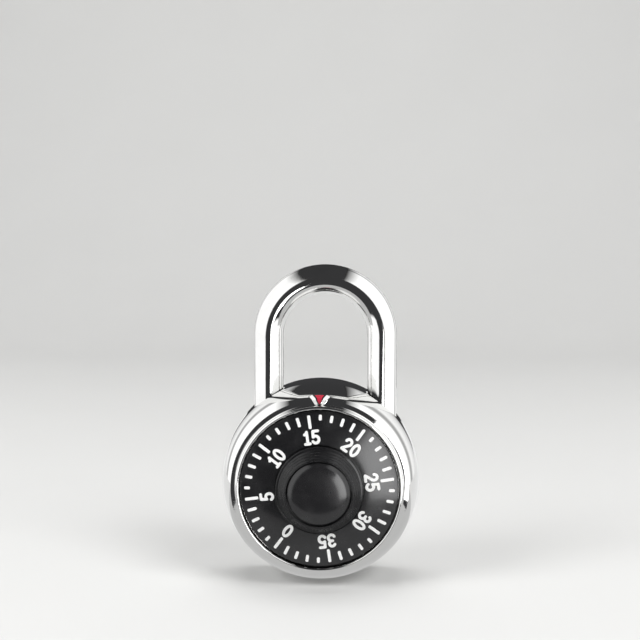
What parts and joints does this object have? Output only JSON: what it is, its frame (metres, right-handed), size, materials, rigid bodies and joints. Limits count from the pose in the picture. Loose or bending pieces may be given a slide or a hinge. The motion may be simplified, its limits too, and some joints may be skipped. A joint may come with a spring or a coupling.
{
  "type": "combination padlock",
  "caption": "Round combination padlock with a numbered black dial, a ridged knob and a polished steel case and shackle; wheels, latch and lever inside.",
  "frame": {"origin": "centre of the back plate's outer face, on the dial's axis", "axes": "the dial faces -Y, the shackle points along +Z, the toe leg is on the -X side; +Y points out of the back"},
  "size_m": [0.048, 0.0263, 0.0766],
  "materials": {
    "polished_steel": "mirror-bright plated steel",
    "black_enamel": "glossy black enamel with white and red marks",
    "zinc_plate": "zinc-plated pressed steel",
    "brass": "plain brass",
    "spring_steel": "spring steel",
    "nylon": "natural nylon"
  },
  "bodies": {
    "case": {"outer_case": "polished_steel", "inner_case": "zinc_plate", "back_plate": "polished_steel", "dial_bushing": "brass", "mounting_plate": "zinc_plate", "wheel_post": "zinc_plate", "post_rivet_1": "zinc_plate", "post_rivet_2": "zinc_plate", "post_rivet_3": "zinc_plate", "guide_rivet": "zinc_plate", "shackle_guide": "zinc_plate", "pivot_pin": "brass", "pivot_ring": "spring_steel", "spring_post": "zinc_plate", "spring_seat": "zinc_plate", "latch_spring": "spring_steel", "lever_spring": "spring_steel", "wave_washer": "spring_steel", "thrust_washer": "brass", "spacer_front": "nylon", "spacer_rear": "nylon"},
    "shackle": {"shackle": "polished_steel", "heel_clip": "spring_steel"},
    "dial": {"dial_disc": "black_enamel", "knob": "black_enamel", "knob_cap": "black_enamel", "spindle": "zinc_plate", "drive_cam": "zinc_plate"},
    "wheel_middle": {"wheel_middle": "brass"},
    "wheel_rear": {"wheel_rear": "brass"},
    "latch": {"latch": "zinc_plate"},
    "lever": {"lever": "zinc_plate", "fence_pin": "zinc_plate"}
  },
  "joints": [
    {"name": "shackle_lift", "type": "slide", "parent": "case", "child": "shackle", "axis": [0, 0, 1], "range_m": [0, 0.0097]},
    {"name": "latch_swing", "type": "hinge", "parent": "case", "child": "latch", "pos_m": [-0.0112, -0.0062, 0.008], "axis": [0, 1, 0], "range_deg": [0, 45], "deforming": ["latch_spring"]},
    {"name": "lever_rock", "type": "hinge", "parent": "case", "child": "lever", "pos_m": [-0.0112, -0.00845, 0.008], "axis": [0, 1, 0], "range_deg": [0, 2], "stiffness_Nm_per_rad": 0.02, "springref_deg": -11.46, "deforming": ["lever_spring"]},
    {"name": "dial_spin", "type": "hinge", "parent": "case", "child": "dial", "pos_m": [0, -0.0207, 0], "axis": [0, 1, 0], "continuous": true},
    {"name": "wheel_middle_turn", "type": "hinge", "parent": "dial", "child": "wheel_middle", "pos_m": [0, -0.01365, 0], "axis": [0, 1, 0], "range_deg": [-117.5, 217.5]},
    {"name": "wheel_rear_turn", "type": "hinge", "parent": "wheel_middle", "child": "wheel_rear", "pos_m": [0, -0.01155, 0], "axis": [0, 1, 0], "range_deg": [-102.5, 232.5]}
  ],
  "couplings": [
    {"joint": "latch_swing", "follows": "shackle_lift", "rad_per_m": 80.9}
  ]
}
